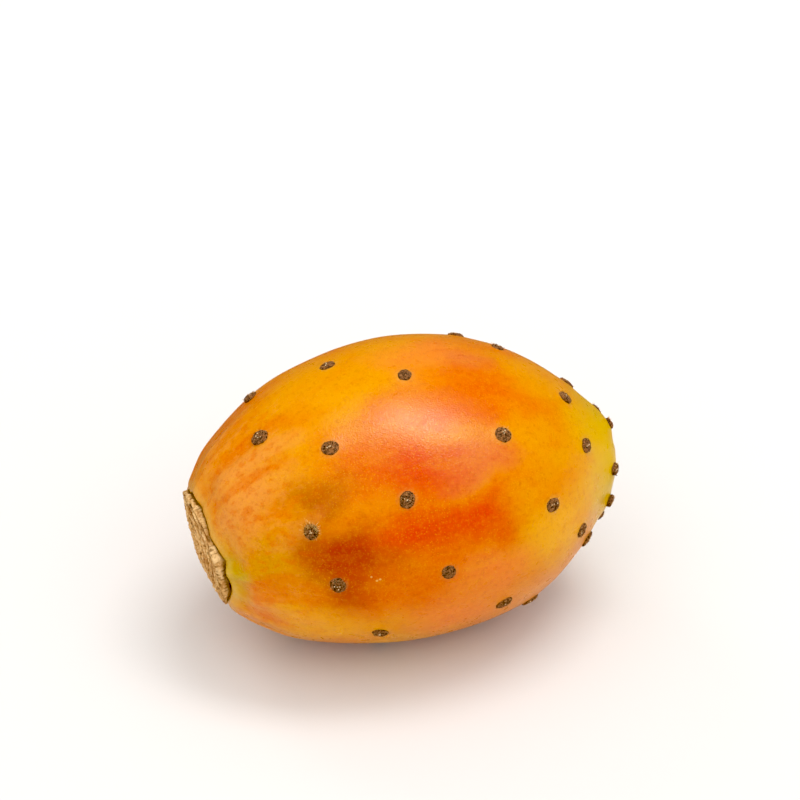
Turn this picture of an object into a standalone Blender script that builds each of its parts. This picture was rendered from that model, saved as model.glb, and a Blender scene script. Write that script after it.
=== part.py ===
# Prickly pear fruit, picked and lying on its side: one grown body with a corky stem scar at one
# end, a shallow dished flower end at the other, and small felted areoles standing on the skin.
# Metres, +X from the stem end to the flower end, +Z up, origin on the surface that it lies on.
import math
import random

import bmesh
import bpy
import numpy as np
from mathutils import Matrix, Vector

NAME = "prickly_pear_fruit"
MM = 0.001

# Barrel: how far along the axis and how far out, in mm, from the stem scar's seat, round the
# shoulder, over the belly and the flower end's rim to the floor of its dish
OUTLINE = (
    (-37.6, 0), (-38.0, 6), (-38.9, 10.2), (-39.6, 12.2), (-38.7, 14.0), (-35.2, 17.4),
    (-27.2, 23.3), (-16, 27.3), (-4, 29.3), (8, 28.8), (20, 25.6), (30.4, 19.2), (36.7, 13.0),
    (39.6, 9.8), (40.3, 8.0), (39.3, 6.3), (37.7, 3.6), (37.1, 0),
)
HALF_LENGTH = 40 * MM
RINGS_A_SPAN = 3
SIDES = 52
BOW = 2.7 * MM            # the axis arches up by this much at its middle
STEM_REACH = 0.38         # share of the half length in which the stem end leans and drops
STEM_TILT = 0.20          # lean of the stem end's plane, run over rise, its face turned down
STEM_DROP = 2.4 * MM      # the stem end's middle lies this far under the axis
FLOWER_TILT = 0.18        # lean of the flower end's plane, its face turned down
PLEATS = 13               # faint folds that run out from under the stem scar
PLEAT_DEPTH = 0.22 * MM
PLEAT_REACH = 9 * MM
PLEAT_START = 3.5 * MM
AXIS_AT = Vector((0.4, 0.25, 26.3)) * MM   # middle of the axis's chord: the box stands over the origin

# Stem scar: a corky plate with an uneven edge, which stands off the skin round a thick neck
SCAR_AT = -39.5 * MM
SCAR_RADIUS = 11.2 * MM
SCAR_EDGE = 0.4 * MM      # the edge is rounded by this much, front and back
SCAR_LIP = 1.0 * MM
SCAR_CROWN = 1.3 * MM
SCAR_NECK = 9.6 * MM
SCAR_ROOT = 3.0 * MM
SCAR_SIDES = 32
SCAR_WAVES = ((0.045, 2, 0.8), (0.03, 5, 0), (0.02, 9, 1.6))   # share, count round, phase
SCAR_WARP = 0.25 * MM
RIDGE_PITCH = 2.8 * MM
RIDGE_HEIGHT = 0.22 * MM
RINGS_A_RIDGE = 4

# Areoles: how far along from the middle, in mm, and how far round, in degrees, counted from the
# back over the top (90) to the front (180) and on underneath
FRONT_AREOLES = (
    (-28.7, 98), (-18.7, 120), (-7.2, 147), (-0.7, 178), (11.8, 205), (19.6, 223),
    (-26.7, 58), (-13.2, 77), (-1.2, 98), (13.8, 129), (21.8, 161), (29.3, 184), (32.8, 205),
    (-25, 152), (-21.2, 178), (-12.5, 210),
    (14.8, 60), (20.8, 74), (29.8, 104), (31.6, 134), (33.6, 70),
)
RIM_AREOLES = (                    # round the flower end, smaller and on higher mounds
    (39.8, 97), (38.8, 154), (38.8, 190), (39.2, 228), (39.2, 266),
    (39, 304), (39.4, 341), (39.1, 20), (39.6, 58),
)
BACK_ALONG = (-30 * MM, 34 * MM)   # the stretch and the side that are filled at random,
BACK_ROUND = (240, 398)            # in degrees, with areoles kept BACK_SPACING apart
BACK_SPACING = 12.5 * MM
BACK_SEED = 7
BACK_TRIES = 900
AREOLE_RADIUS = 1.35 * MM
RIM_AREOLE_RADIUS = 1.1 * MM
AREOLE_HEIGHT = 0.35 * MM
AREOLE_ROOT = 0.45 * MM
AREOLE_SIDES = 8
MOUND_HEIGHT = 0.2 * MM            # the skin swells a little under each areole
MOUND_REACH = 2.2 * MM
RIM_MOUND_HEIGHT = 0.4 * MM

# Foot: the fruit rests on a small flat spot, shaved off where the belly reaches under the floor,
# and no areole stands lower than FOOT_CLEAR
FOOT_CLEAR = 2.0 * MM
FOOT_SLAB = Vector((40, 40, 10)) * MM


def curve_through(points, pieces):
    """Natural cubic curve through the points, with so many pieces between each two."""
    points = np.array(points, dtype=float)
    steps = np.linalg.norm(np.diff(points, axis=0), axis=1)
    count = len(points)
    bends = np.zeros((count, count))
    pulls = np.zeros_like(points)
    bends[0, 0] = bends[-1, -1] = 1
    for i in range(1, count - 1):
        bends[i, i - 1:i + 2] = steps[i - 1], 2 * (steps[i - 1] + steps[i]), steps[i]
        ahead = (points[i + 1] - points[i]) / steps[i]
        behind = (points[i] - points[i - 1]) / steps[i - 1]
        pulls[i] = 6 * (ahead - behind)
    second = np.linalg.solve(bends, pulls)
    line = []
    for i, step in enumerate(steps):
        for k in range(pieces):
            b = k / pieces
            a = 1 - b
            bend = (a ** 3 - a) * second[i] + (b ** 3 - b) * second[i + 1]
            line.append(a * points[i] + b * points[i + 1] + bend * step ** 2 / 6)
    line.append(points[-1])
    return np.array(line)


def smooth_step(value):
    value = min(max(value, 0.0), 1.0)
    return value * value * (3 - 2 * value)


def bend_skin(x, out, turn):
    """Place of a skin point: how far along and out on the straight barrel, and its angle round."""
    u = x / HALF_LENGTH
    stem = smooth_step((-u - 1 + STEM_REACH) / STEM_REACH)
    flower = max(u, 0) ** 4
    fold = math.exp(-(x + HALF_LENGTH) / PLEAT_REACH) * smooth_step(out / PLEAT_START - 1)
    out += PLEAT_DEPTH * fold * math.cos(PLEATS * turn + 2 * math.sin(2 * turn))
    rise = out * math.sin(turn)
    lean = FLOWER_TILT * flower - STEM_TILT * stem
    height = BOW * (1 - u * u) - STEM_DROP * stem
    return AXIS_AT + Vector((x + lean * rise, out * math.cos(turn), height + rise))


def skin_frame(side, x, turn):
    """Point on the skin and the direction that faces straight out of it there."""
    step = 0.2 * MM
    radius = np.interp(x, side[:, 0], side[:, 1])
    further = np.interp(x + step, side[:, 0], side[:, 1])
    here = bend_skin(x, radius, turn)
    along = bend_skin(x + step, further, turn) - here
    beside = bend_skin(x, radius, turn + step / radius) - here
    return here, beside.cross(along).normalized()


def place_areoles():
    """Every areole as its point, its outward direction, its mound's height and its radius."""
    line = curve_through(OUTLINE, RINGS_A_SPAN) * MM
    side = line[np.argmin(line[:, 0]):np.argmax(line[:, 0]) + 1]
    places = []
    for x, degrees in FRONT_AREOLES:
        found = skin_frame(side, x * MM, math.radians(degrees))
        places.append((*found, MOUND_HEIGHT, AREOLE_RADIUS))
    for x, degrees in RIM_AREOLES:
        found = skin_frame(side, x * MM, math.radians(degrees))
        places.append((*found, RIM_MOUND_HEIGHT, RIM_AREOLE_RADIUS))
    rng = random.Random(BACK_SEED)
    for _ in range(BACK_TRIES):
        x = rng.uniform(*BACK_ALONG)
        turn = math.radians(rng.uniform(*BACK_ROUND))
        point, facing = skin_frame(side, x, turn)
        apart = min((point - other[0]).length for other in places)
        if apart > BACK_SPACING and point.z > FOOT_CLEAR:
            places.append((point, facing, MOUND_HEIGHT, AREOLE_RADIUS))
    return places


def turned(name, profile, sides):
    """Closed mesh object turned round the X axis from (along, out) points."""
    mesh = bpy.data.meshes.new(name)
    points = [(x, 0, out) for x, out in profile]
    mesh.from_pydata(points, [(i, i + 1) for i in range(len(points) - 1)], [])
    turning = bpy.data.objects.new(name, mesh)
    bpy.context.scene.collection.objects.link(turning)
    screw = turning.modifiers.new("turn", "SCREW")
    screw.axis = "X"
    screw.steps = sides
    screw.render_steps = sides
    screw.use_merge_vertices = True
    screw.merge_threshold = 0.00001
    solid = solid_from(turning, name)
    bpy.data.objects.remove(turning)
    return solid


def solid_from(source, name):
    """The source as its modifiers leave it, in a new mesh object with its faces turned out."""
    bpy.context.view_layer.update()
    graph = bpy.context.evaluated_depsgraph_get()
    mesh = bpy.data.meshes.new_from_object(source.evaluated_get(graph), depsgraph=graph)
    mesh.name = name
    work = bmesh.new()
    work.from_mesh(mesh)
    bmesh.ops.remove_doubles(work, verts=work.verts, dist=0.000005)
    bmesh.ops.recalc_face_normals(work, faces=work.faces)
    work.to_mesh(mesh)
    work.free()
    return bpy.data.objects.new(name, mesh)


def material(name, colour, roughness):
    made = bpy.data.materials.new(name)
    made.use_nodes = True
    shader = made.node_tree.nodes["Principled BSDF"]
    shader.inputs["Base Color"].default_value = (*colour, 1)
    shader.inputs["Roughness"].default_value = roughness
    shader.inputs["Metallic"].default_value = 0
    return made


def make_barrel(areoles):
    """The fleshy body, bent from a turned barrel, with its skin swollen under each areole."""
    barrel = turned(NAME, curve_through(OUTLINE, RINGS_A_SPAN) * MM, SIDES)
    for vertex in barrel.data.vertices:
        x, across, up = vertex.co
        vertex.co = bend_skin(x, math.hypot(across, up), math.atan2(up, across))
    for vertex, normal in [(v, v.normal.copy()) for v in barrel.data.vertices]:
        swell = 0
        for point, _, height, _ in areoles:
            apart = (vertex.co - point).length / MOUND_REACH
            swell += height * math.exp(-apart * apart)
        vertex.co += normal * swell
    barrel.data.materials.append(material("skin", (0.86, 0.36, 0.02), 0.4))
    return barrel


def make_scar():
    """The corky plate: a neck in the flesh, a lip that stands off the skin, and a ridged face."""
    profile = [(SCAR_ROOT, 0), (SCAR_ROOT, SCAR_NECK), (0, SCAR_NECK)]
    profile += [(0, SCAR_RADIUS - SCAR_EDGE), (-SCAR_EDGE, SCAR_RADIUS)]
    rings = round(SCAR_RADIUS / RIDGE_PITCH * RINGS_A_RIDGE)
    for i in range(rings + 1):
        out = (SCAR_RADIUS - SCAR_EDGE) * (1 - i / rings)
        crown = SCAR_CROWN * (1 - (out / SCAR_RADIUS) ** 2)
        ridge = RIDGE_HEIGHT * math.cos(math.tau * out / RIDGE_PITCH)
        profile.append((-SCAR_LIP - crown - ridge, out))
    scar = turned("stem_scar", profile, SCAR_SIDES)
    for vertex in scar.data.vertices:
        x, across, up = vertex.co
        turn = math.atan2(up, across)
        out = math.hypot(across, up)
        edge = smooth_step(out / SCAR_NECK)
        swing = 1 + edge * sum(share * math.sin(n * turn + at) for share, n, at in SCAR_WAVES)
        lift = SCAR_WARP * edge * math.sin(3 * turn + 1)
        vertex.co = (x + lift, across * swing, up * swing)
    seat = bend_skin(SCAR_AT, 0, 0)
    scar.matrix_world = Matrix.Translation(seat) @ Matrix.Rotation(-math.atan(STEM_TILT), 4, "Y")
    scar.data.materials.append(material("cork", (0.42, 0.25, 0.11), 0.9))
    return scar


def make_areole(place, felt):
    """One felted pad: a low dome sunk into the top of its mound."""
    point, facing, mound, radius = place
    work = bmesh.new()
    bmesh.ops.create_uvsphere(work, u_segments=AREOLE_SIDES, v_segments=6, radius=1)
    tall = AREOLE_HEIGHT + AREOLE_ROOT
    wide = radius / math.sqrt(1 - (AREOLE_ROOT / tall) ** 2)
    bmesh.ops.scale(work, vec=(wide, wide, tall), verts=work.verts)
    mesh = bpy.data.meshes.new("areole")
    work.to_mesh(mesh)
    work.free()
    mesh.materials.append(felt)
    dome = bpy.data.objects.new("areole", mesh)
    sunk = point + facing * (mound - AREOLE_ROOT)
    dome.matrix_world = Matrix.Translation(sunk) @ facing.to_track_quat("Z", "Y").to_matrix().to_4x4()
    return dome


def join(body, growths):
    """The body and all its growths as one closed solid."""
    group = bpy.data.collections.new("growths")
    bpy.context.scene.collection.children.link(group)
    for growth in growths:
        group.objects.link(growth)
    bpy.context.scene.collection.objects.link(body)
    union = body.modifiers.new("grow together", "BOOLEAN")
    union.operation = "UNION"
    union.operand_type = "COLLECTION"
    union.collection = group
    union.solver = "EXACT"
    union.material_mode = "TRANSFER"
    whole = solid_from(body, NAME)
    for growth in growths:
        bpy.data.objects.remove(growth)
    bpy.data.collections.remove(group)
    bpy.data.objects.remove(body)
    whole.name = NAME
    return whole


def make_foot():
    """The slab that shaves the flat spot under the belly."""
    work = bmesh.new()
    bmesh.ops.create_cube(work, size=1)
    bmesh.ops.scale(work, vec=FOOT_SLAB, verts=work.verts)
    bmesh.ops.translate(work, vec=(0, 0, -FOOT_SLAB.z / 2), verts=work.verts)
    mesh = bpy.data.meshes.new("foot_cutter")
    work.to_mesh(mesh)
    work.free()
    cutter = bpy.data.objects.new("foot_cutter", mesh)
    cutter.hide_render = True
    cutter.display_type = "WIRE"
    return cutter


def make_fruit():
    areoles = place_areoles()
    felt = material("areole_felt", (0.10, 0.06, 0.03), 0.95)
    growths = [make_scar()] + [make_areole(place, felt) for place in areoles]
    fruit = join(make_barrel(areoles), growths)
    cutters = bpy.data.collections.new("cutters")
    bpy.context.scene.collection.children.link(cutters)
    foot = make_foot()
    cutters.objects.link(foot)
    flat = fruit.modifiers.new("flat spot", "BOOLEAN")
    flat.operation = "DIFFERENCE"
    flat.solver = "EXACT"
    flat.object = foot
    fruit.data.shade_smooth()
    fruit.data.set_sharp_from_angle(angle=math.radians(40))
    home = bpy.data.collections.new("prickly_pear")
    bpy.context.scene.collection.children.link(home)
    home.objects.link(fruit)


for old in list(bpy.data.objects):
    bpy.data.objects.remove(old)
make_fruit()
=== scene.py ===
import math
import random

import bpy
import numpy as np
from mathutils import Matrix, Vector, noise


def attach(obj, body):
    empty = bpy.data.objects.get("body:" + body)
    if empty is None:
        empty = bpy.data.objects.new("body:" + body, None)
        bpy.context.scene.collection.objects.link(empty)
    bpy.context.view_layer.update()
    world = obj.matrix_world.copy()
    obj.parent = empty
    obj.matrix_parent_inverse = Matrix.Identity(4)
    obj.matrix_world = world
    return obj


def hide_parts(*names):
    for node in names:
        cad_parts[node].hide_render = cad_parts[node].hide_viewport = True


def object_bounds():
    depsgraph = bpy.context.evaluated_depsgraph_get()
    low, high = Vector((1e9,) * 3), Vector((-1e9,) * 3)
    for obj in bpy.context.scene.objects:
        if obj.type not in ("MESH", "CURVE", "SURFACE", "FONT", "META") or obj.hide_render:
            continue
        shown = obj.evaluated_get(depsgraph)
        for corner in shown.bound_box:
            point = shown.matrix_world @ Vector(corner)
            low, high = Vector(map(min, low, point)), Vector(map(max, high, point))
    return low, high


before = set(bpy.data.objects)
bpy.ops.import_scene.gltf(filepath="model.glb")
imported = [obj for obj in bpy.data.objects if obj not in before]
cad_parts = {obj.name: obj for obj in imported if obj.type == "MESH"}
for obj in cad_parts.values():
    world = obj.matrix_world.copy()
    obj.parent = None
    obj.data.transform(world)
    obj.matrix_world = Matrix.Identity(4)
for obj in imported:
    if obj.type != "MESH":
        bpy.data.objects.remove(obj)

cad_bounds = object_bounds()
FRUIT = "prickly_pear_fruit"
MM = 0.001

# Camera: it looks down on the fruit from 35 degrees above, 18 degrees round to the stem end's side,
# and from so far off that both ends of the fruit come out at nearly one scale.
AXIS_AT = np.array((0.4, 0.25, 26.3)) * MM    # middle of the fruit's own axis, over the origin
CAMERA_ABOVE = math.radians(35)
CAMERA_ROUND = math.radians(17.85)
CAMERA_AWAY = 700 * MM
PICTURE = 800                                 # pixels across
FOCAL_PIXELS = 3614.3
AXIS_PIXEL = (403.9, 498.1)                   # where the axis's middle falls in the picture
BLACK_POINT = 0.03                            # what the picture shows as black

back = np.array((-math.sin(CAMERA_ROUND) * math.cos(CAMERA_ABOVE),
                 -math.cos(CAMERA_ROUND) * math.cos(CAMERA_ABOVE), math.sin(CAMERA_ABOVE)))
right = np.array((math.cos(CAMERA_ROUND), -math.sin(CAMERA_ROUND), 0))
up = np.cross(back, right)
aside = (AXIS_PIXEL[0] - PICTURE / 2) / FOCAL_PIXELS * CAMERA_AWAY
down = (AXIS_PIXEL[1] - PICTURE / 2) / FOCAL_PIXELS * CAMERA_AWAY
eye = AXIS_AT + back * CAMERA_AWAY - right * aside + up * down

lens = bpy.data.cameras.new("camera")
lens.sensor_width = 36
lens.lens = 36 * FOCAL_PIXELS / PICTURE
lens.clip_start = 0.01
camera = bpy.data.objects.new("camera", lens)
bpy.context.scene.collection.objects.link(camera)
camera.matrix_world = Matrix((
    (right[0], up[0], back[0], eye[0]),
    (right[1], up[1], back[1], eye[1]),
    (right[2], up[2], back[2], eye[2]),
    (0, 0, 0, 1),
))
bpy.context.scene.camera = camera
view = bpy.context.scene.view_settings
view.view_transform = "Standard"
view.use_curve_mapping = True
view.curve_mapping.black_level = (BLACK_POINT,) * 3
view.curve_mapping.update()


# Skin: the smooth waxy rind of the whole barrel, grown thick over the flesh, with ripening blush in
# cloudy patches over gold. It is turned from one outline and bent, swells a little under every
# areole, folds towards both ends, draws back from the scar, and is flat only where the fruit lies.
OUTLINE = (
    (-37.6, 0), (-38.0, 6), (-38.9, 10.2), (-39.6, 12.2), (-38.7, 14.0), (-35.2, 17.4),
    (-27.2, 23.3), (-16, 27.3), (-4, 29.3), (8, 28.8), (20, 25.6), (30.4, 19.2), (36.7, 13.0),
    (39.6, 9.8), (40.3, 8.0), (39.3, 6.3), (37.7, 3.6), (37.1, 0),
)
HALF_LENGTH = 40 * MM
COARSE_SPAN, FINE_SPAN = 3, 48
SKIN_RINGS = 225
SKIN_SIDES = 400
RINGS_FOR_BENDS = 6 * MM       # a radian of bend in the outline gets as many rings as this length
BOW = 2.7 * MM
STEM_REACH = 0.38
STEM_TILT = 0.20
STEM_DROP = 2.4 * MM
FLOWER_TILT = 0.18
PLEATS = 13
PLEAT_DEPTH = 0.22 * MM
PLEAT_REACH = 9 * MM
PLEAT_START = 3.5 * MM

# Areoles: how far along the fruit in mm, how far round in degrees from its far side over the top
FRONT_AREOLES = (
    (-28.7, 98), (-18.7, 120), (-7.2, 147), (-0.7, 178), (11.8, 205), (19.6, 223),
    (-26.7, 58), (-13.2, 77), (-1.2, 98), (13.8, 129), (21.8, 161), (29.3, 184), (32.8, 205),
    (-25, 152), (-21.2, 178), (-12.5, 210),
    (14.8, 60), (20.8, 74), (29.8, 104), (31.6, 134), (33.6, 70),
)
RIM_AREOLES = (
    (39.8, 97), (38.8, 154), (38.8, 190), (39.2, 228), (39.2, 266),
    (39, 304), (39.4, 341), (39.1, 20), (39.6, 58),
)
BACK_ALONG = (-30 * MM, 34 * MM)
BACK_ROUND = (240, 398)
BACK_SPACING = 12.5 * MM
BACK_SEED = 7
BACK_TRIES = 900
FOOT_CLEAR = 2.0 * MM
MOUND_HEIGHT = 0.2 * MM
MOUND_REACH = 2.2 * MM
RIM_MOUND_HEIGHT = 0.4 * MM
RIM_PAD = 0.8                  # a rim areole's size beside the others'
LUMP_HEIGHT = 0.09 * MM
LUMP_SIZE = 9 * MM
STEM_FOLDS, TIP_FOLDS = 5.6, 2.8     # how closely the folds stand round each end
STEM_FOLD_DEPTH = 0.42 * MM
TIP_FOLD_DEPTH = 0.45 * MM
FOLD_LENGTH = 16 * MM
# How far the skin draws back from the scar, round from the back over the top: degrees, mm
CRACK_WAVE = (
    (20, 0.1), (40, 0.4), (58, 0.0), (74, 0.2), (88, 0.3), (102, 0.8), (116, 0.5), (134, 0.2),
    (147, 0.6), (159, 1.3), (168, 0.8), (176, 0.6), (187, 0.9), (197, 0.8), (210, 0.2),
    (222, -0.2), (240, 0.3), (256, 0.7), (272, 0.1), (292, 0.6), (308, 0.0), (326, 0.5), (344, 0.1),
)
SCAR_RADIUS = 11.2 * MM
SCAR_WAVES = ((0.045, 2, 0.8), (0.03, 5, 0), (0.02, 9, 1.6))      # share, count round, phase
LIP_OUT = 12.2 * MM
CRACK_WIDTH = 0.12 * MM
HALO_AT = 1.6 * MM
HALO_WIDTH = 0.28 * MM
GREEN_AT, GREEN_REACH = 176, 32      # where the skin is green beside the scar, in degrees round
DISH_RIM_AT = 7.4 * MM
DISH_RIM_WIDTH = 0.5 * MM
JUST_ABOVE = 0.01 * MM               # between the skin's flat spot and what it lies on


def curve_through(points, pieces):
    """Natural cubic curve through the points, with so many pieces between each two."""
    points = np.array(points, dtype=float)
    steps = np.linalg.norm(np.diff(points, axis=0), axis=1)
    count = len(points)
    bends = np.zeros((count, count))
    pulls = np.zeros_like(points)
    bends[0, 0] = bends[-1, -1] = 1
    for i in range(1, count - 1):
        bends[i, i - 1:i + 2] = steps[i - 1], 2 * (steps[i - 1] + steps[i]), steps[i]
        ahead = (points[i + 1] - points[i]) / steps[i]
        behind = (points[i] - points[i - 1]) / steps[i - 1]
        pulls[i] = 6 * (ahead - behind)
    second = np.linalg.solve(bends, pulls)
    line = []
    for i, step in enumerate(steps):
        for k in range(pieces):
            b = k / pieces
            a = 1 - b
            bend = (a ** 3 - a) * second[i] + (b ** 3 - b) * second[i + 1]
            line.append(a * points[i] + b * points[i + 1] + bend * step ** 2 / 6)
    line.append(points[-1])
    return np.array(line)


def smooth_step(value):
    value = np.clip(value, 0, 1)
    return value * value * (3 - 2 * value)


def rise(value, start, stop):
    """0 up to start and 1 from stop on, eased between; start may be the greater."""
    return smooth_step((value - start) / (stop - start))


def bend_skin(x, out, turn):
    """Places of skin points: how far along and out on the straight barrel, and the angle round."""
    u = x / HALF_LENGTH
    stem = smooth_step((-u - 1 + STEM_REACH) / STEM_REACH)
    flower = np.maximum(u, 0) ** 4
    fold = np.exp(-(x + HALF_LENGTH) / PLEAT_REACH) * smooth_step(out / PLEAT_START - 1)
    out = out + PLEAT_DEPTH * fold * np.cos(PLEATS * turn + 2 * np.sin(2 * turn))
    lift = out * np.sin(turn)
    lean = FLOWER_TILT * flower - STEM_TILT * stem
    height = BOW * (1 - u * u) - STEM_DROP * stem
    return AXIS_AT + np.stack((x + lean * lift, out * np.cos(turn), height + lift), -1)


coarse_line = curve_through(OUTLINE, COARSE_SPAN) * MM
coarse_side = coarse_line[np.argmin(coarse_line[:, 0]):np.argmax(coarse_line[:, 0]) + 1]


def skin_frame(x, turn):
    """Point on the skin, the direction straight out of it and the direction along the fruit."""
    step = 0.2 * MM
    radius = np.interp(x, coarse_side[:, 0], coarse_side[:, 1])
    further = np.interp(x + step, coarse_side[:, 0], coarse_side[:, 1])
    here = bend_skin(x, radius, turn)
    along = bend_skin(x + step, further, turn) - here
    beside = bend_skin(x, radius, turn + step / radius) - here
    facing = np.cross(beside, along)
    return here, facing / np.linalg.norm(facing), along / np.linalg.norm(along)


def place_areoles():
    """Every areole as its point, outward and lengthwise directions, mound's height and size."""
    places = []
    for x, degrees in FRONT_AREOLES:
        places.append((*skin_frame(x * MM, math.radians(degrees)), MOUND_HEIGHT, 1))
    for x, degrees in RIM_AREOLES:
        places.append((*skin_frame(x * MM, math.radians(degrees)), RIM_MOUND_HEIGHT, RIM_PAD))
    rng = random.Random(BACK_SEED)
    for _ in range(BACK_TRIES):
        x = rng.uniform(*BACK_ALONG)
        turn = math.radians(rng.uniform(*BACK_ROUND))
        found = skin_frame(x, turn)
        apart = min(np.linalg.norm(found[0] - other[0]) for other in places)
        if apart > BACK_SPACING and found[0][2] > FOOT_CLEAR:
            places.append((*found, MOUND_HEIGHT, 1))
    return places


areoles = place_areoles()


def turned(name, profile, sides):
    """Closed mesh turned round the X axis from (along, out) points."""
    mesh = bpy.data.meshes.new(name)
    points = [(x, 0, out) for x, out in profile]
    mesh.from_pydata(points, [(i, i + 1) for i in range(len(points) - 1)], [])
    turning = bpy.data.objects.new(name, mesh)
    bpy.context.scene.collection.objects.link(turning)
    screw = turning.modifiers.new("turn", "SCREW")
    screw.axis = "X"
    screw.steps = sides
    screw.render_steps = sides
    screw.use_merge_vertices = True
    screw.merge_threshold = 0.01 * MM
    screw.use_normal_calculate = True
    graph = bpy.context.evaluated_depsgraph_get()
    solid = bpy.data.meshes.new_from_object(turning.evaluated_get(graph), depsgraph=graph)
    bpy.data.objects.remove(turning)
    solid.name = name
    return solid


def read_points(mesh, what="vertices", field="co"):
    items = getattr(mesh, what)
    values = np.empty(len(items) * 3)
    items.foreach_get(field, values)
    return values.reshape(-1, 3)


def write_points(mesh, points):
    mesh.vertices.foreach_set("co", points.ravel())
    mesh.update()


def store(mesh, name, values):
    """A number for each vertex that the finish can read."""
    field = mesh.attributes.new(name, "FLOAT", "POINT")
    field.data.foreach_set("value", np.asarray(values, dtype=np.float32))


def show(name, mesh, finish):
    """Puts a finished mesh in the scene as a piece that rides with the fruit."""
    mesh.shade_smooth()
    mesh.materials.append(finish)
    piece = bpy.data.objects.new(name, mesh)
    bpy.context.scene.collection.objects.link(piece)
    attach(piece, "root")
    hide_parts(FRUIT)


fine_line = curve_through(OUTLINE, FINE_SPAN) * MM
strides = np.diff(fine_line, axis=0)
headings = np.unwrap(np.arctan2(strides[:, 1], strides[:, 0]))
cost = np.hypot(*strides.T) + RINGS_FOR_BENDS * np.abs(np.gradient(headings))
spent = np.concatenate(([0], np.cumsum(cost)))
rings = np.linspace(0, spent[-1], SKIN_RINGS)
skin_profile = np.stack([np.interp(rings, spent, fine_line[:, i]) for i in range(2)], -1)
skin_mesh = turned("skin", skin_profile, SKIN_SIDES)


def scar_swing(turns):
    """How much further out than a circle the scar's edge runs, as a share."""
    return sum(share * np.sin(n * turns + at) for share, n, at in SCAR_WAVES)


straight = read_points(skin_mesh)
station = straight[:, 0]
out = np.hypot(straight[:, 1], straight[:, 2])
turn = np.arctan2(straight[:, 2], straight[:, 1])
off_middle = rise(out, 6 * MM, 9 * MM)
by_scar = rise(-station, 34 * MM, 39 * MM) * off_middle
closing = SCAR_RADIUS * (1 + scar_swing(turn)) + CRACK_WIDTH - LIP_OUT
write_points(skin_mesh, bend_skin(station, out + by_scar * closing, turn))
points = read_points(skin_mesh)
normals = read_points(skin_mesh, "vertex_normals", "vector")
if np.sum(normals * (points - points.mean(0))) < 0:
    skin_mesh.flip_normals()
    normals = -normals
swell = np.zeros(len(points))
halo = np.zeros(len(points))
for point, _, _, mound, share in areoles:
    apart = np.linalg.norm(points - point, axis=1)
    swell += mound * np.exp(-(apart / MOUND_REACH) ** 2)
    halo = np.maximum(halo, np.exp(-((apart / share - HALO_AT) / HALO_WIDTH) ** 2))
lumps = np.array([noise.noise(Vector(p / LUMP_SIZE)) for p in points])


def at_each(places, scale):
    """Smooth noise at each of the places, from about -1 to 1."""
    return 1.6 * np.array([noise.noise(Vector(p)) for p in np.stack(places, -1) * scale])


def folds_round(closeness):
    """Uneven lengthwise folds at each skin point, from -1 in a valley to 1 on a crest."""
    return at_each((station / FOLD_LENGTH, closeness * np.cos(turn), closeness * np.sin(turn)), 1)


def crack_shift(turns):
    degrees, shift = np.array(CRACK_WAVE).T
    return np.interp(np.degrees(turns) % 360, degrees, shift, period=360) * MM


stem_near = rise(-station, 16 * MM, 32 * MM)
tip_near = rise(station, 24 * MM, 36 * MM)
stem_folds = folds_round(STEM_FOLDS)
tip_folds = folds_round(TIP_FOLDS)
folded = STEM_FOLD_DEPTH * stem_near * (1 - stem_folds) / 2
folded += TIP_FOLD_DEPTH * tip_near * (1 - tip_folds) / 2
points += normals * (swell - folded + LUMP_HEIGHT * (lumps - 0.6))[:, None]
points[:, 0] += crack_shift(turn) * rise(-station, 35 * MM, 38 * MM) * off_middle
points[:, 2] = np.maximum(points[:, 2], JUST_ABOVE)
write_points(skin_mesh, points)

green = np.exp(-((np.degrees(turn) % 360 - GREEN_AT) / GREEN_REACH) ** 2)
in_dish = station > 36 * MM
store(skin_mesh, "halo", halo)
# Lip beside the scar, painted paler: partly its own paler skin, partly a painted rim light along its
# lit edge
store(skin_mesh, "stem_lip_and_rim_light", rise(-station, 38.2 * MM, 39.2 * MM) * (out > 9 * MM))
store(skin_mesh, "green_lip", rise(-station, 35 * MM, 39 * MM) * green)
# Skin inside the crack round the scar, darkened as painted shade of the gap
store(skin_mesh, "crack_shade", (station < 0) * rise(out, 12.5 * MM, 11.9 * MM))
# Fold crests and valleys near the stem, for colour: they carry painted highlight and painted shade as
# well as streaks
store(skin_mesh, "crest", np.maximum(stem_folds, 0) * stem_near)
store(skin_mesh, "valley", np.maximum(-stem_folds, 0) * stem_near)
store(skin_mesh, "drawn_out", rise(-station, 14 * MM, 36 * MM))
store(skin_mesh, "flower_tip", rise(station, 31 * MM, 38 * MM))
store(skin_mesh, "dish", (station > 37 * MM) * rise(out, 8.125 * MM, 1.625 * MM))
store(skin_mesh, "dish_floor", in_dish * (station < 39.6 * MM) * rise(out, 7.82 * MM, 3.22 * MM))
store(skin_mesh, "dish_rim", in_dish * np.exp(-((out - DISH_RIM_AT) / DISH_RIM_WIDTH) ** 2))


class Wire:
    """A node's output in a shader expression: arithmetic on it adds Math nodes."""

    def __init__(self, nodes, socket):
        self.nodes = nodes
        self.socket = socket

    def maths(self, operation, *values):
        return self.nodes.maths(operation, *values)

    def __add__(self, other):
        return self.maths("ADD", self, other)

    def __radd__(self, other):
        return self.maths("ADD", other, self)

    def __rsub__(self, other):
        return self.maths("SUBTRACT", other, self)

    def __mul__(self, other):
        return self.maths("MULTIPLY", self, other)

    def __rmul__(self, other):
        return self.maths("MULTIPLY", other, self)

    def __pow__(self, other):
        return self.maths("POWER", self, other)


def shade(red, green, blue):
    """A colour as it looks on a screen, 0 to 255, turned to the light that it stands for."""
    shares = (red / 255, green / 255, blue / 255)
    light = [((s + 0.055) / 1.055) ** 2.4 if s > 0.04 else s / 12.92 for s in shares]
    return (*light, 1)


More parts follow.
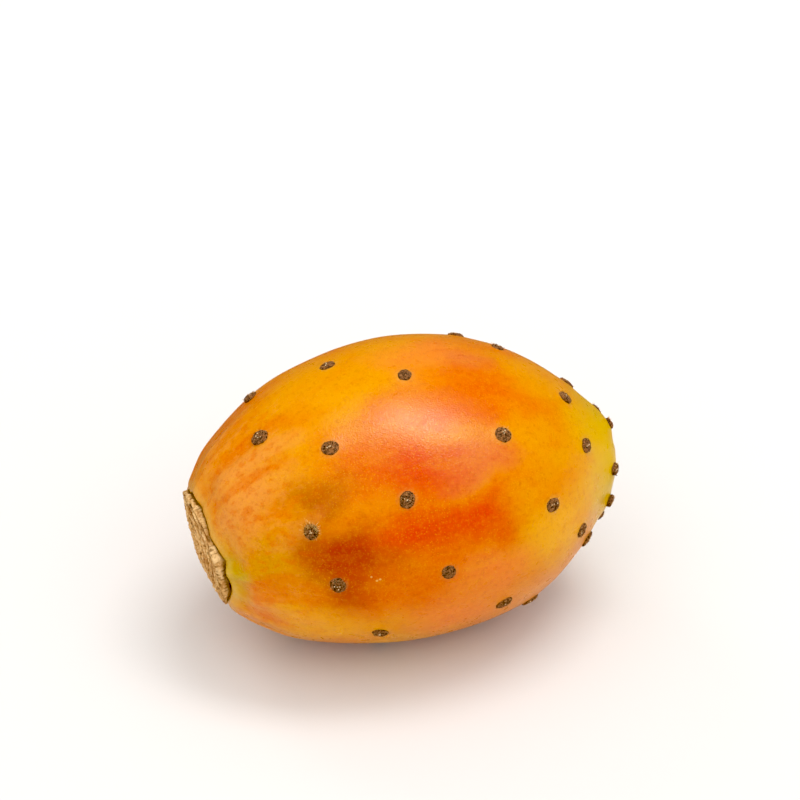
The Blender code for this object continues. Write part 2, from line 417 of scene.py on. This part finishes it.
class Nodes:
    """The nodes of one finish, or of the light all round."""

    def __init__(self, holder):
        holder.use_nodes = True
        self.tree = holder.node_tree

    def node(self, kind, settings=None, values=(), output=0):
        """One node: its settings first, then the values or wires of its sockets."""
        made = self.tree.nodes.new(kind)
        for name, value in (settings or {}).items():
            setattr(made, name, value)
        for key, value in values.items() if isinstance(values, dict) else enumerate(values):
            self.join(value, made.inputs[key])
        return Wire(self, made.outputs[output])

    def join(self, value, socket):
        if isinstance(value, Wire):
            self.tree.links.new(value.socket, socket)
        else:
            socket.default_value = value

    def maths(self, operation, *values):
        return self.node("ShaderNodeMath", {"operation": operation}, values)

    def vector(self, operation, *values, output=0):
        return self.node("ShaderNodeVectorMath", {"operation": operation}, values, output)

    def mix(self, share, first, second):
        """The first colour, with that share of the second over it."""
        settings = {"data_type": "RGBA", "clamp_factor": True}
        return self.node("ShaderNodeMix", settings, {0: share, 6: first, 7: second}, 2)

    def ramp(self, value, start, stop):
        """0 at start to 1 at stop, eased at both; start may be the greater."""
        settings = {"interpolation_type": "SMOOTHSTEP"}
        return self.node("ShaderNodeMapRange", settings, (value, start, stop, 0.0, 1.0))

    def noise(self, where, scale, detail=2.0, rough=0.5, output=0):
        values = {"Vector": where, "Scale": scale, "Detail": detail, "Roughness": rough}
        return self.node("ShaderNodeTexNoise", None, values, output)

    def cells(self, where, scale, output=0):
        return self.node("ShaderNodeTexVoronoi", None, {"Vector": where, "Scale": scale}, output)

    def attribute(self, name):
        return self.node("ShaderNodeAttribute", {"attribute_name": name}, (), 2)

    def relief(self, height, strength, depth, under=None):
        values = {"Strength": strength, "Distance": depth, "Height": height}
        if under:
            values["Normal"] = under
        return self.node("ShaderNodeBump", None, values)


class Finish(Nodes):
    """A material being made: nodes that lead to one Principled shader."""

    def __init__(self, name, **constants):
        self.material = bpy.data.materials.new(name)
        super().__init__(self.material)
        self.shader = self.tree.nodes["Principled BSDF"]
        for socket, value in constants.items():
            self.shader.inputs[socket.replace("_", " ")].default_value = value

    def feed(self, socket, value):
        self.join(value, self.shader.inputs[socket])


GOLD = shade(213, 142, 20)
AMBER = shade(210, 120, 20)
SUN = shade(214, 164, 10)
HONEY = shade(222, 156, 30)
ORANGE = shade(207, 95, 16)
RED = shade(202, 64, 16)
RUST = shade(164, 54, 14)
UMBER = shade(172, 92, 20)
CORAL = shade(206, 104, 56)
SALMON = shade(218, 140, 62)
PEACH = shade(222, 122, 50)
OLIVE = shade(198, 136, 4)
LIME = shade(182, 158, 0)
CREAM = shade(228, 190, 110)
STRAW = shade(228, 176, 36)
# Patches of colour: how far along in mm, how far round in degrees, reach in mm, share, colour
PATCHES = (
    (-34, 112, 13, 0.9, SALMON), (-36, 136, 9, 0.9, SALMON), (-32, 84, 10, 0.6, AMBER),
    (-9, 98, 10, 0.9, GOLD), (4, 86, 10, 0.7, PEACH), (2, 113, 10, 0.7, ORANGE),
    (14, 110, 11, 0.9, ORANGE), (13, 94, 6, 0.6, CORAL), (26, 96, 10, 0.8, GOLD),
    (36, 118, 12, 0.9, SUN), (36, 158, 12, 0.9, SUN), (18, 128, 7, 0.7, GOLD),
    (-12, 128, 11, 0.9, ORANGE), (-5, 136, 8, 0.8, RED), (1, 139, 7, 0.8, RED),
    (-14, 150, 6, 0.6, AMBER), (9, 138, 8, 0.75, CORAL), (-23.5, 138, 7, 0.9, UMBER),
    (-24, 160, 7, 0.8, UMBER), (-19, 165, 9, 1, RUST), (-5, 160, 8, 1, RED),
    (6, 160, 8, 1, RED), (22, 152, 7, 0.6, AMBER), (3, 173, 9, 0.8, ORANGE),
    (-19, 180, 9, 0.9, RUST), (-8, 184, 11, 0.9, ORANGE), (11, 182, 8, 0.8, PEACH),
    (2, 200, 10, 0.8, PEACH), (25, 176, 11, 1, HONEY), (-33, 164, 10, 0.9, OLIVE),
    (-39, 172, 5, 0.8, LIME), (-24, 208, 11, 0.9, HONEY), (-36, 196, 8, 0.8, SALMON),
    (18, 210, 8, 0.7, SALMON),
)
BACK_PATCHES = 26
GRAIN = 2900                      # specks to the metre of skin
SKIN_SHINE = 0.2                  # a thin dry bloom over the wax
PATCH_STRETCH = (0.6, 1, 1)       # patches are drawn out along the fruit
PATCH_WANDER = 12 * MM            # how far noise draws their edges about
FLECKS = ((-15.2, 175.5), (-14.2, 177.5), (-13.6, 177))

skin = Finish("prickly_pear_skin", Specular_IOR_Level=SKIN_SHINE, Subsurface_Weight=0.1,
              Subsurface_Scale=2 * MM)
skin.shader.inputs["Subsurface Radius"].default_value = (1.0, 0.4, 0.1)
place = skin.node("ShaderNodeTexCoord", output="Object")
wander = skin.noise(place, 95, 3, output=1)
wander = skin.vector("MULTIPLY_ADD", wander, (PATCH_WANDER,) * 3, (-PATCH_WANDER / 2,) * 3)
cloudy = skin.vector("MULTIPLY", skin.vector("ADD", place, wander), PATCH_STRETCH)
colour = skin.mix(skin.ramp(skin.noise(place, 45, 3), 0.35, 0.65), GOLD, AMBER)
rng = random.Random(7)
back_patches = []
for _ in range(BACK_PATCHES):
    tint = rng.choice((GOLD, SUN, ORANGE, ORANGE, RED, SALMON, PEACH, OLIVE, AMBER, HONEY))
    spot = (rng.uniform(-36, 36), rng.uniform(228, 405), rng.uniform(7, 12), rng.uniform(0.5, 0.9))
    back_patches.append((*spot, tint))
for x, degrees, reach, share, tint in back_patches + list(PATCHES):
    centre = skin_frame(x * MM, math.radians(degrees))[0] * PATCH_STRETCH
    apart = skin.vector("DISTANCE", cloudy, centre, output=1)
    colour = skin.mix(skin.ramp(apart, reach * MM, reach * MM * 0.15) * share, colour, tint)

streaks = skin.noise(skin.vector("MULTIPLY", place, (0.3, 1, 1)), 260, 3, 0.6)
colour = skin.mix(skin.ramp(streaks, 0.5, 0.8) * 0.25, colour, RED)
colour = skin.mix(skin.ramp(streaks, 0.5, 0.25) * 0.18, colour, HONEY)
# Fold streaks: the paler salmon on the crests is partly painted highlight, the deeper orange in the
# valleys partly painted shade
colour = skin.mix(skin.ramp(skin.attribute("crest"), 0.1, 0.6) * 0.5, colour, SALMON)
colour = skin.mix(skin.ramp(skin.attribute("valley"), 0.1, 0.6) * 0.5, colour, ORANGE)
drawn = skin.noise(skin.vector("MULTIPLY", place, (0.16, 1, 1)), 620, 3, 0.6)
near = skin.attribute("drawn_out")
colour = skin.mix(skin.ramp(drawn, 0.5, 0.66) * near * 0.4, colour, SALMON)
colour = skin.mix(skin.ramp(drawn, 0.5, 0.34) * near * 0.5, colour, ORANGE)
mottle = skin.noise(place, 1100, 3, 0.7)
colour = skin.mix(skin.ramp(mottle, 0.5, 0.75) * 0.2, colour, HONEY)
colour = skin.mix(skin.ramp(mottle, 0.5, 0.3) * 0.25, colour, RUST)
grain = skin.cells(place, GRAIN)
chance = skin.cells(place, GRAIN, output=1)
dusty = skin.ramp(skin.noise(place, 110, 3), 0.38, 0.62)
dots = skin.ramp(grain, 0.5, 0.15) * skin.ramp(chance, 0.45, 0.7)
colour = skin.mix(dots * (0.15 + 0.2 * dusty), colour, STRAW)
dark_dots = skin.ramp(grain, 0.45, 0.2) * skin.ramp(chance, 0.36, 0.2)
colour = skin.mix(dark_dots * 0.15, colour, RUST)
for x, degrees in FLECKS:
    centre = skin_frame(x * MM, math.radians(degrees))[0]
    apart = skin.vector("DISTANCE", place, centre, output=1)
    colour = skin.mix(skin.ramp(apart, 0.3 * MM, 0.15 * MM) * 0.6, colour, CREAM)
tip = skin.attribute("flower_tip")
colour = skin.mix(tip * 0.75, colour, SUN)
colour = skin.mix(tip * skin.noise(place, 120, 2) * 0.7, colour, LIME)
colour = skin.mix(skin.attribute("green_lip") * 0.75, colour, shade(186, 154, 16))
# Pale lip beside the scar: partly the lip's own paler skin, partly a painted rim light along the lit
# edge
colour = skin.mix(skin.attribute("stem_lip_and_rim_light") * 0.4, colour, shade(214, 178, 92))
# Darker olive-brown on the skin inside the crack round the scar: painted shade of the gap
colour = skin.mix(skin.attribute("crack_shade"), colour, shade(160, 116, 28))
colour = skin.mix(skin.attribute("halo") * 0.2, colour, shade(200, 156, 96))
dry = skin.noise(place, 700, 4, 0.65)
dish_floor = skin.attribute("dish_floor")
colour = skin.mix(skin.attribute("dish") * 0.6, colour, shade(140, 112, 36))
colour = skin.mix(dish_floor * (0.35 + 0.9 * skin.ramp(dry, 0.4, 0.65)), colour, shade(150, 108, 58))
colour = skin.mix(dish_floor * skin.ramp(dry, 0.5, 0.32) * 0.7, colour, shade(92, 62, 30))
dish_rim = skin.attribute("dish_rim") * skin.ramp(dry, 0.35, 0.6)
colour = skin.mix(dish_rim * 0.45, colour, shade(186, 146, 86))
skin.feed("Base Color", colour)
skin.feed("Roughness", 0.23 + 0.12 * skin.noise(place, 500, 3))
drawn_relief = skin.relief(drawn * near + dry * dish_floor * 2, 0.6, 0.25 * MM)
dotted_relief = skin.relief(grain, 0.4, 0.05 * MM, drawn_relief)
leather = skin.noise(skin.vector("MULTIPLY", place, (0.6, 1, 1)), 3400, 3, 0.65)
skin.feed("Normal", skin.relief(leather, 0.7, 0.07 * MM, dotted_relief))
show("skin", skin_mesh, skin.material)


# Stem scar: the corky plate left where the fruit was cut from its stem. It is dry and layered, with
# uneven rings round an off-centre heart, fibres, pores and pits, and a torn wavy edge tucked in
# behind the lip of the skin.
SCAR_AT = -39.5 * MM
SCAR_EDGE = 0.4 * MM
SCAR_LIP = 1.0 * MM
SCAR_CROWN = 1.3 * MM
SCAR_NECK = 9.6 * MM
SCAR_ROOT = 3.0 * MM
SCAR_RINGS = 150
SCAR_SIDES = 440
EDGE_STEPS = 24
SCAR_WARP = 0.25 * MM
SCAR_TUCK = 0.4 * MM           # how much further in the plate's edge runs than the skin draws back
HEART = np.array((1.4, 0.9)) * MM
RIDGE_PITCH = 2.2 * MM
RIDGE_HEIGHT = 0.55 * MM
FURROW_SHAPE = 0.42            # the lower, the narrower the furrows between the ridges
RING_WOBBLE = 0.7 * MM
WOBBLE_SCALE = 170             # scales of noise: how many of its lumps go to a metre
WORN_SCALE = 260
CRUMB_SCALE = 2400
FIBRE_HEIGHT = 0.14 * MM
FIBRE_PITCH = 0.42 * MM
EDGE_FIBRE_PITCH = 0.2 * MM
PORE_DEPTH = 0.16 * MM
PIT_DEPTH = 0.55 * MM
# Pits that show, before more at random: how far out in mm, how far round in degrees, how wide in mm
PITS_IN_VIEW = ((9.2, 203, 0.5), (8.4, 214, 0.55), (10.6, 90, 0.6), (9.6, 226, 0.4))
MORE_PITS = 14

scar_profile = [(SCAR_ROOT, 0), (SCAR_ROOT, SCAR_NECK), (0, SCAR_NECK)]
for i in range(EDGE_STEPS + 1):
    around = math.pi * i / EDGE_STEPS
    rim_out = SCAR_RADIUS - SCAR_EDGE + SCAR_EDGE * math.sin(around)
    scar_profile.append((-SCAR_LIP / 2 * (1 - math.cos(around)), rim_out))
for i in range(1, SCAR_RINGS + 1):
    scar_out = (SCAR_RADIUS - SCAR_EDGE) * (1 - i / SCAR_RINGS)
    crown = SCAR_CROWN * (1 - (scar_out / SCAR_RADIUS) ** 2)
    scar_profile.append((-SCAR_LIP - crown, scar_out))
scar_mesh = turned("stem_scar", scar_profile, SCAR_SIDES)
plate = read_points(scar_mesh)
depth_in = plate[:, 0].copy()
scar_out = np.hypot(plate[:, 1], plate[:, 2])
scar_turn = np.arctan2(plate[:, 2], plate[:, 1])
edge = smooth_step(scar_out / SCAR_NECK)
swing = 1 + edge * scar_swing(scar_turn)
plate[:, 0] += SCAR_WARP * edge * np.sin(3 * scar_turn + 1)
plate[:, 1] *= swing
plate[:, 2] *= swing
write_points(scar_mesh, plate)
out_ways = read_points(scar_mesh, "vertex_normals", "vector")
if np.sum(out_ways * plate) < 0:
    scar_mesh.flip_normals()
    out_ways = -out_ways

ring_round = (np.cos(scar_turn), np.sin(scar_turn))
wobble = at_each(plate.T, WOBBLE_SCALE)
off_heart = np.hypot(plate[:, 1] - HEART[0], plate[:, 2] - HEART[1]) + wobble * RING_WOBBLE
worn = 0.4 + 0.6 * smooth_step(0.5 + at_each(plate.T, WORN_SCALE))
ridges = 1 - worn * (1 - np.abs(np.sin(math.pi * off_heart / RIDGE_PITCH)) ** FURROW_SHAPE)
fibres = at_each((off_heart / FIBRE_PITCH, 5 * ring_round[0], 5 * ring_round[1]), 1)
fibres += 0.6 * at_each((plate[:, 0] / EDGE_FIBRE_PITCH, 9 * ring_round[0], 9 * ring_round[1]), 1)
crumbs = at_each(plate.T, CRUMB_SCALE)
pores = rise(crumbs, 0.25, 0.65)
rng = random.Random(5)
pit_places = list(PITS_IN_VIEW)
for _ in range(MORE_PITS):
    pit_places.append((rng.uniform(2.5, 10.5), rng.uniform(0, 360), rng.uniform(0.3, 0.6)))
pits = np.zeros(len(plate))
for pit_out, degrees, pit_wide in pit_places:
    pit_turn = math.radians(degrees)
    pit_y = pit_out * MM * math.cos(pit_turn)
    pit_z = pit_out * MM * math.sin(pit_turn)
    off_pit = np.hypot(plate[:, 1] - pit_y, plate[:, 2] - pit_z)
    pits = np.maximum(pits, np.exp(-(off_pit / (pit_wide * MM)) ** 2))
face = rise(-depth_in, SCAR_LIP / 2, SCAR_LIP / 2 + 0.4 * MM)
bare = rise(-depth_in, -0.02 * MM, 0.08 * MM) * (scar_out > SCAR_NECK) + face
relief = RIDGE_HEIGHT * face * (ridges - 1) + FIBRE_HEIGHT * (fibres - 0.6)
relief -= PORE_DEPTH * pores + PIT_DEPTH * pits * face
plate += out_ways * (relief * np.minimum(bare, 1))[:, None]
behind = rise(depth_in, -0.75 * SCAR_LIP, -0.15 * SCAR_LIP) * (scar_out > SCAR_NECK * 1.01)
plate[:, 0] += (crack_shift(scar_turn) + SCAR_TUCK) * behind
seat = bend_skin(SCAR_AT, 0, 0)
to_place = Matrix.Translation(seat) @ Matrix.Rotation(-math.atan(STEM_TILT), 4, "Y")
write_points(scar_mesh, plate)
scar_mesh.transform(to_place)
store(scar_mesh, "groove", face * (1 - ridges))
store(scar_mesh, "fibre", fibres)
store(scar_mesh, "pore", pores)
store(scar_mesh, "pit", pits * face)
# The plate's edge tucked behind the skin, which the cork darkens as painted shade of the crack
store(scar_mesh, "behind", behind)
store(scar_mesh, "band", rise(scar_out, 9.2 * MM, 10.4 * MM))

cork = Finish("stem_cork", Specular_IOR_Level=0.2)
place = cork.node("ShaderNodeTexCoord", output="Object")
fibre, pore = cork.attribute("fibre"), cork.attribute("pore")
fine = cork.noise(place, 2600, 3, 0.65)
cloud = cork.ramp(cork.noise(place, 220, 3), 0.35, 0.65)
colour = cork.mix(cloud, shade(196, 142, 82), shade(222, 174, 110))
colour = cork.mix(cork.attribute("band") * 0.4, colour, shade(186, 150, 100))
colour = cork.mix(cork.ramp(fibre, 0.0, 0.8) * 0.6, colour, shade(238, 202, 148))
colour = cork.mix(cork.ramp(fibre, 0.0, -0.8) * 0.65, colour, shade(160, 108, 54))
colour = cork.mix(cork.ramp(cork.attribute("groove"), 0.12, 0.5) * 0.9, colour, shade(136, 76, 22))
colour = cork.mix(cork.ramp(fine, 0.5, 0.68) * 0.4, colour, shade(232, 196, 142))
colour = cork.mix(cork.ramp(fine, 0.5, 0.32) * 0.5, colour, shade(128, 84, 38))
colour = cork.mix(pore * 0.75, colour, shade(122, 86, 40))
colour = cork.mix(cork.ramp(cork.attribute("pit"), 0.25, 0.7) * 0.9, colour, shade(92, 52, 16))
# Darker brown on the plate's edge tucked behind the skin: painted shade that draws the crack's dark
# line
colour = cork.mix(cork.ramp(cork.attribute("behind"), 0.5, 0.9) * 0.85, colour, shade(112, 76, 20))
cork.feed("Base Color", colour)
cork.feed("Roughness", 0.78 + 0.2 * fine)
cork.feed("Normal", cork.relief(fine, 0.9, 0.15 * MM))
show("stem_scar", scar_mesh, cork.material)


# Areole felt: each areole is a small raised cushion of dense grey-brown wool on its mound, lumpy
# and slightly oval, with its edge tucked into the skin.
PAD_RADIUS = 1.46 * MM
PAD_HEIGHT = 0.38 * MM
PAD_CLUMPS = 0.2 * MM
PAD_RINGS = 14
PAD_SIDES = 40
PAD_SKIRT = 0.25 * MM
PAD_ROOT = 0.15 * MM
PAD_FRAY = 0.09                # how ragged the edge is, as a share of the radius
CLUMP_SCALE, TUFT_SCALE = 1900, 4600

rng = random.Random(11)
pad_points, pad_faces = [], []
pads = []
for point, facing, along, mound, share_of_full in areoles:
    point, facing, along = Vector(point), Vector(facing), Vector(along)
    beside = facing.cross(along)
    spin = rng.uniform(0, math.tau)
    oval = rng.uniform(0.04, 0.14)
    size = PAD_RADIUS * share_of_full * rng.uniform(0.92, 1.08)
    base = point + facing * (mound - 0.05 * MM)
    pads.append((base, facing, along, beside, size))
    first = len(pad_points)
    for i in range(PAD_RINGS + 2):
        share = min(i / PAD_RINGS, 1)
        for k in range(PAD_SIDES if i else 1):
            around = math.tau * k / PAD_SIDES
            fray = noise.noise(Vector((2.5 * math.cos(around), 2.5 * math.sin(around), 9 * spin)))
            ragged = 1 + oval * math.cos(2 * (around - spin)) + PAD_FRAY * fray
            spread = size * ragged * min(share * 1.12, 1.04)
            here = base + (along * math.cos(around) + beside * math.sin(around)) * spread
            clump = noise.noise(here * CLUMP_SCALE) + 0.6 * noise.noise(here * TUFT_SCALE)
            height = PAD_HEIGHT * (1 - share ** 3) + PAD_CLUMPS * clump * (1 - share ** 4)
            height -= PAD_SKIRT * max(share - 0.85, 0) / 0.15
            if i > PAD_RINGS:
                height -= PAD_ROOT
            pad_points.append(here + facing * height)
    for k in range(PAD_SIDES):
        a, b = first + 1 + k, first + 1 + (k + 1) % PAD_SIDES
        pad_faces.append((first, a, b))
        for _ in range(PAD_RINGS):
            pad_faces.append((a, a + PAD_SIDES, b + PAD_SIDES, b))
            a, b = a + PAD_SIDES, b + PAD_SIDES
    under = range(first + 1 + PAD_RINGS * PAD_SIDES, len(pad_points))
    pad_faces.append(tuple(reversed(under)))
felt_mesh = bpy.data.meshes.new("areole_felt")
felt_mesh.from_pydata(pad_points, [], pad_faces)

felt = Finish("areole_felt", Specular_IOR_Level=0.2)
place = felt.node("ShaderNodeTexCoord", output="Object")
tufts = felt.noise(place, 2300, 2, 0.6)
threads = felt.noise(place, 6500, 2, 0.6)
colour = felt.mix(felt.ramp(tufts, 0.38, 0.6), shade(54, 32, 16), shade(138, 92, 54))
colour = felt.mix(felt.ramp(threads, 0.5, 0.75) * 0.65, colour, shade(206, 160, 116))
colour = felt.mix(felt.ramp(threads, 0.48, 0.3) * 0.5, colour, shade(56, 36, 20))
felt.feed("Base Color", colour)
felt.feed("Roughness", 0.85 + 0.15 * threads)
felt.feed("Normal", felt.relief(threads, 0.8, 0.12 * MM))
show("areole_felt", felt_mesh, felt.material)


# Wool, bristles and stubs: short wool stands out of each felt pad, with fine golden bristles on its
# upper side and the pale stubs of rubbed-off spines in its middle. Each is a closed tapered spike.
# Lengths and radii run from the first number to the second, in mm
WOOL_A_PAD = 60
WOOL_LENGTH = (0.25, 0.5)
WOOL_RADIUS = (0.03, 0.055)
BRISTLES_A_PAD = 16
BRISTLE_LENGTH = (0.5, 0.9)
BRISTLE_RADIUS = (0.018, 0.03)
HAIRY_PAD = 13                 # the pad that has kept most of its bristles
HAIRY_BRISTLES = 110
HAIRY_LENGTH = (0.5, 2.0)
HAIRY_RADIUS = (0.024, 0.04)
STUBS_A_PAD = 3
STUB_LENGTH = (0.3, 0.42)
STUB_RADIUS = (0.1, 0.2)
STUB_SIDES = 7
HAIR_CLEAR = 0.02 * MM         # between a hair's tip and the sides of the fruit's own box


def cone(points, faces, foot, tip, radius, sides=3):
    """A thin tapering spike from foot to tip, closed at its tip."""
    axis = (tip - foot).normalized()
    across = axis.orthogonal().normalized()
    other = axis.cross(across)
    first = len(points)
    for share in (0, 0.55):
        for k in range(sides):
            around = math.tau * k / sides
            ring = (across * math.cos(around) + other * math.sin(around)) * radius * (1 - 0.35 * share)
            points.append(foot.lerp(tip, share) + ring)
    points.append(tip)
    for k in range(sides):
        a, b = first + k, first + (k + 1) % sides
        faces.append((a, b, b + sides, a + sides))
        faces.append((a + sides, b + sides, first + 2 * sides))
    faces.append(tuple(first + k for k in reversed(range(sides))))


def inside_box(point):
    """Whether a hair's tip stays in the fruit's own box and above what it lies on."""
    low, high = cad_bounds
    return all(low[i] + HAIR_CLEAR < point[i] < high[i] - HAIR_CLEAR for i in range(3))


wool_points, wool_faces = [], []
bristle_points, bristle_faces = [], []
stub_points, stub_faces = [], []
rng = random.Random(23)
for number, (base, facing, along, beside, size) in enumerate(pads):
    skyward = Vector((0, 0, 1)) - facing * facing.z
    skyward = skyward.normalized() if skyward.length > 0.1 else along
    level = facing.cross(skyward)
    for _ in range(WOOL_A_PAD):
        around = rng.uniform(0, math.tau)
        share = math.sqrt(rng.random()) * 0.95
        out_way = along * math.cos(around) + beside * math.sin(around)
        foot = base + out_way * size * share + facing * PAD_HEIGHT * (0.6 - 0.55 * share)
        lean = out_way * rng.uniform(0.1, 0.9) * share
        lean += Vector([rng.uniform(-0.4, 0.4) for _ in range(3)])
        tip = foot + (facing + lean).normalized() * rng.uniform(*WOOL_LENGTH) * MM
        if inside_box(tip):
            cone(wool_points, wool_faces, foot, tip, rng.uniform(*WOOL_RADIUS) * MM)
    hairy = number == HAIRY_PAD
    for _ in range(HAIRY_BRISTLES if hairy else BRISTLES_A_PAD):
        fan = rng.gauss(0, 0.75 if hairy else 1.1)
        out_way = skyward * math.cos(fan) + level * math.sin(fan)
        foot = base + out_way * size * rng.uniform(0.35, 0.95) + facing * 0.1 * MM
        lean = out_way * rng.uniform(0.3, 2.2)
        lean += Vector([rng.uniform(-0.3, 0.3) for _ in range(3)])
        length = rng.uniform(*(HAIRY_LENGTH if hairy else BRISTLE_LENGTH)) * MM
        tip = foot + (facing + lean).normalized() * length
        if inside_box(tip):
            radius = rng.uniform(*(HAIRY_RADIUS if hairy else BRISTLE_RADIUS)) * MM
            cone(bristle_points, bristle_faces, foot, tip, radius)
    for _ in range(STUBS_A_PAD + rng.randrange(2)):
        around = rng.uniform(0, math.tau)
        share = rng.uniform(0, 0.5)
        out_way = along * math.cos(around) + beside * math.sin(around)
        foot = base + out_way * size * share + facing * PAD_HEIGHT * 0.5
        tip = foot + (facing + out_way * 0.3).normalized() * rng.uniform(*STUB_LENGTH) * MM
        if inside_box(tip):
            cone(stub_points, stub_faces, foot, tip, rng.uniform(*STUB_RADIUS) * MM, STUB_SIDES)


def hair_mesh(name, points, faces):
    mesh = bpy.data.meshes.new(name)
    mesh.from_pydata(points, [], faces)
    return mesh


wool = Finish("areole_wool", Specular_IOR_Level=0.2, Roughness=0.9)
place = wool.node("ShaderNodeTexCoord", output="Object")
tone = wool.noise(place, 1700, 2)
colour = wool.mix(wool.ramp(tone, 0.4, 0.62), shade(104, 66, 38), shade(190, 146, 104))
wool.feed("Base Color", colour)
show("areole_wool", hair_mesh("areole_wool", wool_points, wool_faces), wool.material)

bristle = Finish("golden_bristle", Specular_IOR_Level=0.5, Roughness=0.45)
place = bristle.node("ShaderNodeTexCoord", output="Object")
tone = bristle.noise(place, 900, 2)
colour = bristle.mix(bristle.ramp(tone, 0.4, 0.6), shade(214, 140, 50), shade(250, 216, 140))
bristle.feed("Base Color", colour)
bristle_mesh = hair_mesh("areole_bristles", bristle_points, bristle_faces)
show("areole_bristles", bristle_mesh, bristle.material)

stub = Finish("spine_stub", Specular_IOR_Level=0.4, Roughness=0.6)
place = stub.node("ShaderNodeTexCoord", output="Object")
tone = stub.noise(place, 2500, 2)
colour = stub.mix(stub.ramp(tone, 0.4, 0.6), shade(196, 160, 112), shade(238, 214, 170))
stub.feed("Base Color", colour)
show("spine_stubs", hair_mesh("spine_stubs", stub_points, stub_faces), stub.material)


# Floor and light: a plain pale sheet in a white room, which gives most of the light and is brightest
# above the camera, with a soft lamp overhead and a weak one behind the stem end. A long lamp and a
# grey card behind the fruit show in reflections alone, as its highlight and its calm upper edge.
FLOOR_SIDE = 3.0
# Lamps: name, place, size, watts, and whether it is there for reflections alone
LAMPS = (
    ("key_lamp", (0.24, 0.02, 0.94), (0.55, 0.26), 3.2, False),
    ("rim_lamp", (-0.30, 0.75, 0.62), (0.3, 0.3), 0.8, False),
    ("shine_lamp", (0.17, -0.12, 0.93), (0.72, 0.15), 13, True),
)
LAMPS_LIE = Vector((0.82, -0.57, 0))    # the way of the lamps' long sides
CARD_FROM, CARD_TO = -0.14, 0.26
CARD_BACK = 0.05
CARD_HEIGHT = 0.1
ROOM_EVEN = 0.65
ROOM_FRONT = 1.2
ROOM_IN_SHINE = 0.42           # what the room gives to reflections: a dim studio round the lamps
FRONT_WAY = Vector((-0.15, -0.6, 0.8)).normalized()

floor_mesh = bpy.data.meshes.new("floor")
half = FLOOR_SIDE / 2
corners = [(-half, -half, 0), (half, -half, 0), (half, half, 0), (-half, half, 0)]
floor_mesh.from_pydata(corners, [], [(0, 1, 2, 3)])
floor = bpy.data.objects.new("floor", floor_mesh)
bpy.context.scene.collection.objects.link(floor)
paper = Finish("pale_floor", Roughness=0.9, Specular_IOR_Level=0.1)
paper.feed("Base Color", shade(221, 218, 215))
floor_mesh.materials.append(paper.material)

card_mesh = bpy.data.meshes.new("dark_card")
corners = [
    (CARD_FROM, CARD_BACK, 0), (CARD_TO, CARD_BACK, 0),
    (CARD_TO, CARD_BACK, CARD_HEIGHT), (CARD_FROM, CARD_BACK, CARD_HEIGHT),
]
card_mesh.from_pydata(corners, [], [(0, 1, 2, 3)])
card = bpy.data.objects.new("dark_card", card_mesh)
bpy.context.scene.collection.objects.link(card)
grey = Finish("card_grey", Roughness=0.9, Specular_IOR_Level=0.1)
grey.feed("Base Color", shade(140, 132, 124))
card_mesh.materials.append(grey.material)
card.visible_camera = False
card.visible_diffuse = False
card.visible_shadow = False

for name, spot, size, watts, for_shine in LAMPS:
    light = bpy.data.lights.new(name, "AREA")
    light.shape = "RECTANGLE"
    light.size, light.size_y = size
    light.energy = watts
    lamp = bpy.data.objects.new(name, light)
    bpy.context.scene.collection.objects.link(lamp)
    lamp.location = spot
    outward = Vector(spot).normalized()
    across = outward.cross(LAMPS_LIE).normalized()
    lamp.rotation_euler = Matrix((across.cross(outward), across, outward)).transposed().to_euler()
    lamp.visible_diffuse = not for_shine
    lamp.visible_glossy = for_shine

world = bpy.data.worlds.new("white_room")
room = Nodes(world)
way = room.node("ShaderNodeTexCoord", output="Generated")
ahead = room.maths("MAXIMUM", room.vector("DOT_PRODUCT", way, FRONT_WAY, output=1), 0.0)
shine = room.node("ShaderNodeLightPath", output="Is Glossy Ray")
strength = (ROOM_EVEN + ROOM_FRONT * ahead ** 2) * (1 - (1 - ROOM_IN_SHINE) * shine)
room.join(strength, room.tree.nodes["Background"].inputs["Strength"])
room.tree.nodes["Background"].inputs["Color"].default_value = (1, 1, 1, 1)
bpy.context.scene.world = world
